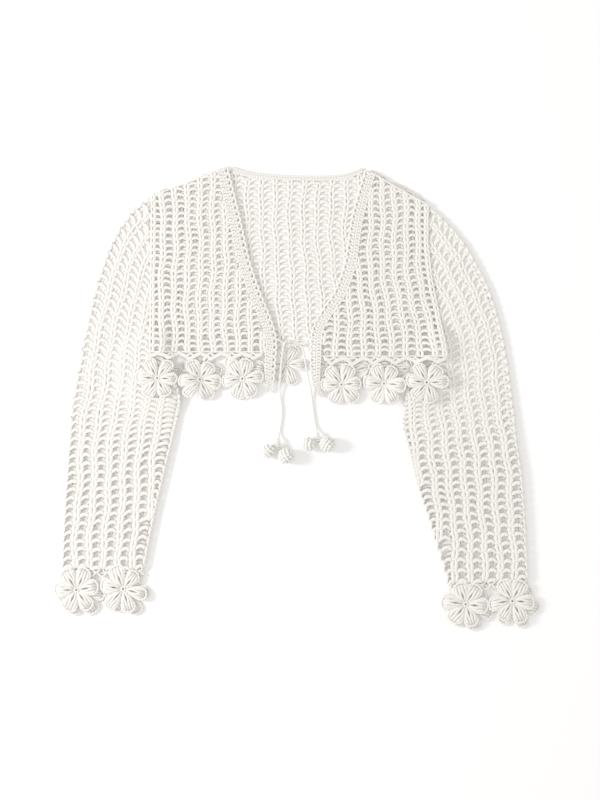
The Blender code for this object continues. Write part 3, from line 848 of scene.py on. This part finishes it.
# %% Rows of the sleeves
# Each row: x and y at the outer fold, x and y at the inner fold, and how open the tube is.
SLEEVE_LINES = {
    "right": (
        (-206.2, 279.8, -149, 152, 0), (-232, 260, -162, 139, 0),
        (-257, 222, -167, 115, 0), (-276, 176.4, -169, 86, 0),
        (-289, 130, -171.6, 53.7, 0), (-299, 84, -170, 31, 0),
        (-309, 32, -161, -5, 0), (-317.8, -21, -165.8, -32, 0.3),
        (-322, -70, -172.7, -62, 0.8), (-325.4, -117.6, -183, -105, 1),
        (-329, -173.6, -196.5, -163, 1), (-331.8, -240.6, -211.4, -238, 1),
    ),
    "left": (
        (187, 265.6, 130, 138, 0), (209, 246, 135, 127, 0),
        (235, 216, 141, 112, 0), (257, 178, 150, 88, 0),
        (273.5, 142, 154.5, 65, 0), (287, 96, 157, 33, 0),
        (296.8, 45, 149, -6, 0), (305.2, -21, 147, -42, 0.3),
        (311, -70, 155, -80, 0.8), (317.8, -117.6, 165, -121, 1),
        (322, -185, 183.6, -177, 1), (325.4, -253.2, 209.6, -261.6, 1),
    ),
}
SLEEVE_PITCH = 20.6
SLEEVE_ROW = 12.0
OPEN_HOLLOW = 2.6
ARMPIT = 62.0


# %% The flattened section
def section(far, flat, half):
    """Place along the flat, height and normal at a distance round the section.

    The distance starts at the outermost point of the outer fold and runs over the top.
    """
    bend = math.pi * half
    place = (far - bend / 2.0) % (2.0 * flat + 2.0 * bend)
    turn_in = (place - flat) / half
    turn_out = (place - 2.0 * flat - bend) / half
    where = [place < flat, place < flat + bend, place < 2.0 * flat + bend]
    inner = flat + half * np.sin(turn_in)
    back = 2.0 * flat + bend - place
    along = np.select(where, [place, inner, back], -half * np.sin(turn_out))
    lift = np.select(where, [1.0, np.cos(turn_in), -1.0], -np.cos(turn_out))
    push = np.select(where, [0.0, np.sin(turn_in), 0.0], -np.sin(turn_out))
    return along, half * lift, lift, push


# %% The sleeves' net
YARN_DEEP = 1.5
CUFF_ARC = 0.72


def sleeve_net(side):
    """A tube of net round the flattened section of one sleeve."""
    fine = through(SLEEVE_LINES[side], 12)
    reach = reach_along(fine, 2)
    rows = round(reach[-1] / SLEEVE_ROW)
    way = -1.0 if side == "right" else 1.0

    def row_line(v):
        at = np.asarray(v) / rows * reach[-1]
        line = at_reach(at, reach, fine)
        start, end = line[..., 0:2], line[..., 2:4]
        length = np.linalg.norm(end - start, axis=-1)
        half = WALL + (TUCK_HOLLOW + OPEN_HOLLOW * line[..., 4]) / 2.0 - YARN_DEEP
        flat = length - 2.0 * (half + YARN_DEEP)
        return start, (end - start) / length[..., None], flat, half, at - np.clip(at, 0.0, reach[-1])

    def round_share(v):
        """How many columns go round the tube at this row."""
        flat, half = row_line(v)[2:4]
        return (2.0 * flat + 2.0 * math.pi * half) / SLEEVE_PITCH

    def surface(u, v):
        start, away, flat, half, over = row_line(v)
        along, level, lift, push = section(u * SLEEVE_PITCH, flat, half)
        point = start + away * (along + half + YARN_DEEP)[:, None]
        point[:, 1] -= over
        shift, raised = uneven(point[:, 0] * 1.1, point[:, 1])
        calm = smooth(0.0, 12.0, along) * smooth(0.0, 12.0, flat - along)
        point[:, 0] += shift * calm
        point[:, 1] += raised * calm
        z = sleeve_base(point[:, 0], point[:, 1]) + half + YARN_DEEP + level
        normal = np.column_stack([away * push[:, None], lift])
        return np.column_stack([point, z]) - normal * YARN_DEEP, normal

    def edge(y):
        """The seam above the armpit, and the fold under the front below it."""
        seam = read(ARMHOLES[side], y) - way * 1.0
        fold = read(FOLDS[side], y) - way * 4.0
        return np.where(y > ARMPIT, seam, fold)

    def limit(places):
        x, y = places[:, 0], places[:, 1]
        beyond = (x - edge(y)) * way
        places[:, 0] = np.where(beyond < 0.0, edge(y) + way * beyond * 0.2, x)
        return places

    def kept(u, row):
        place = spot(surface, u, row + 0.5)
        return (place[0] - edge(place[1])) * way > -1.5

    # The underside's rows lie half a row lower, so its holes don't lie under the top's.
    pillars, chains = [], []
    for row in range(rows + 1):
        count = float(round_share(row + 0.5))
        last = int(count / 2.0 - 0.4)
        over = [*range(last + 1), count / 2.0]
        under = [0.0, *[index - 0.5 for index in range(1, last + 1)], count / 2.0]
        for starts, way_round, later in ((over, 1.0, 0.0), (under, -1.0, 0.5)):
            for first, second in zip(starts, starts[1:]):
                if kept(way_round * first, row):
                    low = first if way_round > 0.0 else -second
                    chains.append((low, row + later, second - first))
                if row < rows and 0.0 < first < count / 2.0 and kept(way_round * first, row):
                    pillars.append((way_round * first, row + later, 1.0))
        if row < rows:
            pillars += [(u, row, 1.0) for u in (0.0, count / 2.0) if kept(u, row)]
    # A ring closes the cuff, and two rows of small arcs hang from it.
    turns = np.arange(0.0, count, 0.11)
    line = surface(turns, np.full(len(turns), float(rows)))[0]
    ring = strand(np.column_stack([line, beaded(1.25, len(turns))]))
    share = np.linspace(0.0, 1.0, 9)
    u = []
    v = []
    for shift, low in ((0.0, 0.0), (CUFF_ARC / 2.0, 0.45)):
        for first in range(int(count / 2.0 / CUFF_ARC)):
            u.append(first * CUFF_ARC + shift + CUFF_ARC * share)
            v.append(rows + low + 0.55 * np.sin(np.pi * share))
    arcs = surface(np.concatenate(u), np.concatenate(v))[0]
    loops = strand(np.column_stack([arcs, beaded(1.15, len(arcs))]))
    wide, long = WIDER["sleeve"]
    made = piece("sleeve_" + side + "_net", [
        placed(ring), placed(loops),
        lay(turned(pillar), pillars, surface, limit, wide, lean=0.02),
        lay(turned(pressed(chain, 1.0, long)), chains, surface, limit, sway=0.05),
    ], net_cotton)
    print("sleeve", side, rows, "rows,", len(pillars), "pillars")
    return made


sleeves = {side: sleeve_net(side) for side in SLEEVE_LINES}

# %% [markdown]
# ## Edgings
# The fronts are edged with shells: two close rows across the band, and a small scallop at
# the opening. One shell is modelled and copied along the band. The neck has a single row.

# %% One shell of the band
SCALLOP = 8.8
STRIP = 15.0
MID_SHELL = SCALLOP / 2.0


def shell():
    """Two rows of thick upright stitches and a scallop, on a strip 15 mm wide."""
    parts = []
    for along in (2.2, 6.6):
        parts.append(pressed(strand([
            (along + 0.6, 15.4, 1.1, 1.1), (along - 0.3, 12.6, 1.5, 1.55), (along + 0.4, 9.8, 1.4, 1.2),
        ]), 1.25))
        out = MID_SHELL + (along - MID_SHELL) * 1.2
        parts.append(pressed(strand([
            (along - 1.8, 10.2, 1.1, 1.1), (along - 1.2, 7.0, 1.5, 1.55), (out - 0.4, 3.4, 1.3, 1.3),
        ]), 1.25))
    for across in (6.4, 12.2):
        parts.append(strand([(along, across, 0.95, 1.3) for along in (-0.4, MID_SHELL, 9.0)]))
    for across in (9.6, 14.6):
        parts.append(strand([
            (-0.4, across, 1.6, 1.0), (1.5, across + 0.7, 1.9, 1.4), (3.2, across - 0.5, 1.6, 1.0),
            (4.9, across + 0.6, 1.9, 1.4), (6.6, across - 0.5, 1.6, 1.0), (9.0, across, 1.6, 1.0),
        ]))
    rim = []
    for index in range(8):
        turn = math.pi * index / 7.0
        out = 4.6 - 4.0 * math.sin(turn) ** 0.7
        bead = 1.35 + 0.4 * (index % 2)
        rim.append((MID_SHELL - MID_SHELL * math.cos(turn), out, 1.5, bead))
    parts.append(strand(rim))
    return bundle(*parts)


band_shell = shell()
print("shell", len(band_shell["faces"]), "faces")


# %% Laying the shells
def shells(side):
    """The shell copied along one front's band, from its opening to its far side."""
    fine = through(FRONTS[side]["band"], 24)
    reach = reach_along(fine, 2)
    far = beside(fine, FRONTS[side]["way"])
    count = round(reach[-1] / SCALLOP)
    step = reach[-1] / count
    x, y, rise = band_shell["corners"].T
    parts = []
    for index in range(count):
        at = (x / SCALLOP + index) * step
        near = at_reach(at, reach, fine[:, :2])
        other = at_reach(at, reach, far)
        place = near + (other - near) * (y / STRIP)[:, None]
        z = front_base(place[:, 0], place[:, 1]) + rise
        parts.append(placed(band_shell, np.column_stack([place, z])))
    return piece("band_" + side + "_shells", parts, edging_cotton)


bands = {side: shells(side) for side in FRONTS}

# %% The neck's edging
NECK_STITCH = 4.4
HALF_EDGING = 2.7
neck_stitch = bundle(
    pressed(strand([(1, 5.9, 1.2, 1.2), (0.7, 3.2, 1.7, 1.4), (1.2, 0.8, 1.3, 1.1)]), 0.95),
    pressed(strand([(3.2, 5.9, 1.2, 1.2), (3, 3.2, 1.7, 1.4), (3.4, 0.8, 1.3, 1.1)]), 0.95),
    strand([(-0.2, 0.6, 1.6, 1.1), (1.1, 0.1, 2, 1.45), (2.2, 0.6, 1.7, 1.1),
            (3.3, 0.1, 2, 1.45), (4.6, 0.6, 1.6, 1.1)]),
    strand([(-0.2, 4.6, 1.6, 1), (1.1, 5.1, 1.9, 1.3), (2.2, 4.6, 1.6, 1),
            (3.3, 5.1, 1.9, 1.3), (4.6, 4.6, 1.6, 1)]),
)


def neck_band():
    """The neck's stitch copied along the back of the neck."""
    fine = through(BACK_NECK, 24)
    reach = reach_along(fine, 2)
    along = headings(fine)
    up = np.column_stack([-along[:, 1], along[:, 0]])
    count = round(reach[-1] / NECK_STITCH)
    step = reach[-1] / count
    x, y, z = neck_stitch["corners"].T
    parts = []
    for index in range(count):
        at = (x / NECK_STITCH + index) * step
        across = at_reach(at, reach, up) * (HALF_EDGING - y)[:, None]
        parts.append(placed(neck_stitch, np.column_stack([at_reach(at, reach, fine) + across, z])))
    return piece("band_neck_edging", parts, edging_cotton)


neck = neck_band()

# %% [markdown]
# ## Flowers
# Each flower has six petals of long stitches that fan out from a small ring and are drawn
# together at the rim, so a petal is puffed and has a slit at its root. One petal is built
# from strands, copied six times, and each flower is turned a little.

# %% One petal
PETALS = 6
PETAL_LENGTH = 28.0
RIBS = (
    ((3.2, 0.7, 1.6, 1), (8, 1.7, 2.5, 1.2), (12, 2.5, 3, 1.4), (18.5, 1.6, 3.2, 1.75),
     (26.8, 1.6, 2.3, 1.6)),
    ((3.6, 1.5, 1.3, 0.9), (9.5, 3.6, 2.1, 1.25), (15.5, 5.3, 2.7, 1.6), (21.5, 5.6, 2.7, 1.8),
     (25.6, 4.6, 2.1, 1.5)),
    ((5, 1.9, 0.9, 0.9), (12, 3.9, 1.1, 1.2), (19, 4.6, 1.2, 1.4), (26, 3.2, 1.2, 1.3)),
)


def petal():
    """A puffed petal: three ribs on each side, and a beaded rim round them."""
    parts = []
    for side in (-1.0, 1.0):
        for rib in RIBS:
            parts.append(strand([(x, side * y, z, radius) for x, y, z, radius in rib]))
    outline = through([
        (8.0, -3.6, 1.4), (14.5, -6.4, 1.7), (20.8, -8.1, 1.9), (25.8, -7.1, 2.0), (28.6, -2.8, 2.0),
        (28.6, 2.8, 2.0), (25.8, 7.1, 2.0), (20.8, 8.1, 1.9), (14.5, 6.4, 1.7), (8.0, 3.6, 1.4),
    ], 4)
    beads = 1.15 + 0.75 * np.sin(math.pi * reach_along(outline, 3) / 4.3) ** 2
    parts.append(strand(np.column_stack([outline, beads])))
    return bundle(*parts)


flower_petal = petal()
ring_turn = np.linspace(0.0, 2.0 * math.pi, 19)
flower_ring = strand(np.column_stack([
    2.8 * np.cos(ring_turn), 2.8 * np.sin(ring_turn), np.full(19, 2.0), beaded(1.15, 19, 0.3),
]))
print("petal", len(flower_petal["faces"]), "faces")

# %% Flowers in their places
HEM_FLOWER = 30.3
CUFF_FLOWER = 34.0


def on_flower(x, y):
    """A cuff's upper flowers lie on the lower ones."""
    return np.full_like(x, OVER_FLOWER)


def crocheted_flower(name, x, y, radius, base):
    """Six petals round the ring, each of its own length, width, bend and turn."""
    parts = []
    start = rng.uniform(-12.0, 12.0)
    for index in range(PETALS):
        corners = flower_petal["corners"].copy()
        corners[:, 0] *= rng.uniform(0.9, 1.06)
        corners[:, 1] *= rng.uniform(0.9, 1.16)
        corners[:, 1] += rng.uniform(-2.6, 2.6) * (corners[:, 0] / PETAL_LENGTH) ** 2
        corners[:, 2] *= rng.uniform(0.9, 1.0)
        turn = math.radians(index * 60.0 + start + rng.uniform(-5.0, 5.0))
        out, side, rise = corners.T
        px = (out * math.cos(turn) - side * math.sin(turn)) * radius / HEM_FLOWER + x
        py = (out * math.sin(turn) + side * math.cos(turn)) * radius / HEM_FLOWER + y
        parts.append(placed(flower_petal, np.column_stack([px, py, base(px, py) + rise])))
    ring = flower_ring["corners"] + (x, y, 0.0)
    ring[:, 2] += base(ring[:, 0], ring[:, 1])
    parts.append(placed(flower_ring, ring))
    return piece(name + "_crochet", parts, flower_cotton)


FLOWER_PITCH = 59.3
BACK_ROW = []
for index in range(7):
    x = OUTER_FLOWERS[0] + FLOWER_PITCH * index
    BACK_ROW.append((x, float(hem_y(x)) - BELOW_HEM))
HEM_ROWS = {
    "front_right": ((-195, 25), (-135.6, 23.2), (-76.2, 24.2)),
    "front_left": ((62.6, 15.8), (122, 17.4), (181.4, 19)),
    "back": BACK_ROW,
}
CUFF_ROWS = {
    "cuff_right": ((-308.6, -271.4), (-243.2, -270)),
    "cuff_left": ((236.2, -291.4), (301.6, -286.8)),
}
flowers = {}
for row, places in HEM_ROWS.items():
    for index, (x, y) in enumerate(places, 1):
        name = f"flower_{row}_{index}"
        flowers[name] = crocheted_flower(name, x, y, HEM_FLOWER, ground if row == "back" else front_base)
for row, places in CUFF_ROWS.items():
    for index, (x, y) in enumerate(places, 1):
        name = f"flower_{row}_{index}"
        under = name + "_under"
        flowers[name] = crocheted_flower(name, x, y, CUFF_FLOWER, on_flower)
        flowers[under] = crocheted_flower(under, x + 5.0, y - 5.5, CUFF_FLOWER, ground)

# %% [markdown]
# ## The lattice over the flowers
# Chains run from the hem down to the flowers' upper petals and back, and leave large open
# gaps. They follow the same zigzag as the CAD strip and are beaded like a crochet chain.
# A row of small arcs hangs from the hem between them.

# %% Lattice chains
HANGING_ARC = 14.8


def lattice(name, middles, hem_at, base, first, last):
    """Two chains side by side that zigzag between a hem and its flowers, and small arcs."""
    half_petal = HEM_FLOWER * 0.5
    tip = HEM_FLOWER * math.sin(math.radians(60.0)) + 1.0
    path = [(first, hem_at(first) - 2.4)]
    for x, y in middles:
        for way in (-1, 1):
            path.append((x + way * half_petal, y + tip + 1.2))
            high = x if way < 0 else x + FLOWER_PITCH / 2.0
            path.append((high, hem_at(high) - 2.2))
    path[-1] = (last, hem_at(last) - 2.4)
    runs = []
    for apart in (-1.0, 1.0):
        points = []
        for index, (one, two) in enumerate(zip(path, path[1:])):
            for share in np.linspace(0.0, 1.0, 7)[:-1]:
                bow = 1.6 * math.sin(math.pi * share) * (-1.0) ** index
                x = one[0] + (two[0] - one[0]) * share + bow
                y = one[1] + (two[1] - one[1]) * share + 0.5 * bow
                points.append((x, y))
        points.append(path[-1])
        points = np.array(points)
        along = headings(points)
        runs.append(points + np.column_stack([-along[:, 1], along[:, 0]]) * apart)
    arcs = round((last - first) / HANGING_ARC)
    turns = np.linspace(0.0, math.pi, 7)
    loops = []
    for index in range(arcs):
        left = first + (last - first) * index / arcs
        x = left + (last - first) / arcs * (0.5 - 0.5 * np.cos(turns))
        drop = 4.6 + 1.2 * math.sin(index * 2.3)
        hem = np.array([hem_at(place) for place in x])
        loops.append(np.column_stack([x, hem - drop * np.sin(turns)]))
    runs.append(np.concatenate(loops))
    parts = []
    for points in runs:
        z = base(points[:, 0], points[:, 1]) + 1.7
        parts.append(placed(strand(np.column_stack([points, z, beaded(1.3, len(points))]))))
    return piece(name, parts, net_cotton)


def front_lattice(side, first, last):
    """The lattice of one front, under its level hem."""
    hem = FRONTS[side]["hem"]
    middles = HEM_ROWS["front_" + side]
    return lattice("lattice_" + side + "_chain", middles, lambda x: hem, front_base, first, last)


lattices = {
    "back": lattice("lattice_back_chain", BACK_ROW, hem_y, ground, -206.0, 206.0),
    "right": front_lattice("right", -206.0, -48.0),
    "left": front_lattice("left", 38.4, 209.0),
}

# %% [markdown]
# ## Floor and light
# The cardigan lies on a white table, between bright surroundings that fill every shadow. A
# round lamp stands low at the left, so that each strand has a lit side and the flowers throw
# a soft shadow. The table is so bright that it reads as white paper.

# %% Floor
bpy.ops.mesh.primitive_plane_add(size=8.0, location=(0.0, 0.0, -0.0004))
floor = bpy.context.object
floor.name = "floor"
bpy.ops.object.transform_apply(location=True)
paper = bpy.data.materials.new("white_table")
paper.use_nodes = True
paper_shader = paper.node_tree.nodes["Principled BSDF"]
set_values(paper_shader, Roughness=0.9, Specular_IOR_Level=0.1)
grain = node(paper.node_tree, "ShaderNodeTexNoise")
set_values(grain, Scale=3.0)
tint = node(paper.node_tree, "ShaderNodeMix", data_type="RGBA")
tint.inputs[6].default_value = (0.965, 0.963, 0.957, 1.0)
tint.inputs[7].default_value = (0.98, 0.978, 0.97, 1.0)
where = node(paper.node_tree, "ShaderNodeTexCoord")
link = paper.node_tree.links.new
link(where.outputs["Object"], grain.inputs["Vector"])
link(grain.outputs[0], tint.inputs[0])
link(tint.outputs[2], paper_shader.inputs["Base Color"])
floor.data.materials.append(paper)

# %% Lights
SURROUNDINGS = 0.79
LAMP_PLACE = (-1.93, 0.2, 1.04)
LAMP_WIDE = 0.62
LAMP_WATTS = 43.0
BRIGHTER = 1.7
world = bpy.data.worlds.new("studio")
bpy.context.scene.world = world
world.use_nodes = True
background = world.node_tree.nodes["Background"]
set_values(background, Color=(1.0, 0.985, 0.96, 1.0), Strength=SURROUNDINGS)
bpy.ops.object.light_add(type="AREA", location=LAMP_PLACE)
lamp = bpy.context.object
lamp.data.shape = "DISK"
lamp.data.size = LAMP_WIDE
lamp.data.energy = LAMP_WATTS
lamp.data.color = (0.98, 0.99, 1.0)
lamp.rotation_euler = lamp.location.to_track_quat("Z", "Y").to_euler()
view = bpy.context.scene.view_settings
view.view_transform = "Standard"
view.gamma = BRIGHTER
print("lamp", round(lamp.data.energy), "W, world", SURROUNDINGS)

# %% [markdown]
# ## Declaring the cloth and the cords
# The model needs to know what each piece is: which solid it stands for, what it rides on,
# and how large the flat cloth and the free cords really are.

# %% Riding and replacing
stands_for = {
    back_net: ("back", "cotton_net"),
    neck: ("band_neck", "cotton_edging"),
    lattices["back"]: ("lattice_back", "cotton_net"),
}
for side in FRONTS:
    stands_for[ties[side]] = ("tie_" + side, "cotton_cord")
    stands_for[fronts[side]] = ("front_" + side, "cotton_net")
    stands_for[sleeves[side]] = ("sleeve_" + side, "cotton_net")
    stands_for[bands[side]] = ("band_" + side, "cotton_edging")
    stands_for[lattices[side]] = ("lattice_front_" + side, "cotton_net")
    stands_for[knots[side]] = ("knot_" + side, "cotton_cord")
    for index, ball in enumerate(balls[side], 1):
        stands_for[ball] = (f"ball_{side}_{index}", "cotton_cord")
for name, flower in flowers.items():
    stands_for[flower] = (name, "cotton_flower")
for made, (solid, slot) in stands_for.items():
    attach(made, "root")
    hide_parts(solid)
print(len(stands_for), "pieces ride on the root")


back_outline = [(x, hem_y(x)) for x in np.linspace(-207.0, 209.0, 30)]
back_outline += [(x, float(back_top(x))) for x in np.linspace(-205.0, 186.0, 60)[::-1]]
for side, plan in FRONTS.items():
    edge = beside(plan["band"], plan["way"])
    neckline = [point for point in edge if point[1] > plan["hem"]]
    down = np.linspace(plan["shoulder"][0][1], plan["hem"], 12)
    outline = [(float(read(ARMHOLES[side], y)), y) for y in down]
    outline += [(plan["last"], plan["hem"]), *neckline]
    on_it = [lattices[side], bands[side]]
    on_it += [flowers[f"flower_front_{side}_{index}"] for index in (1, 2, 3)]
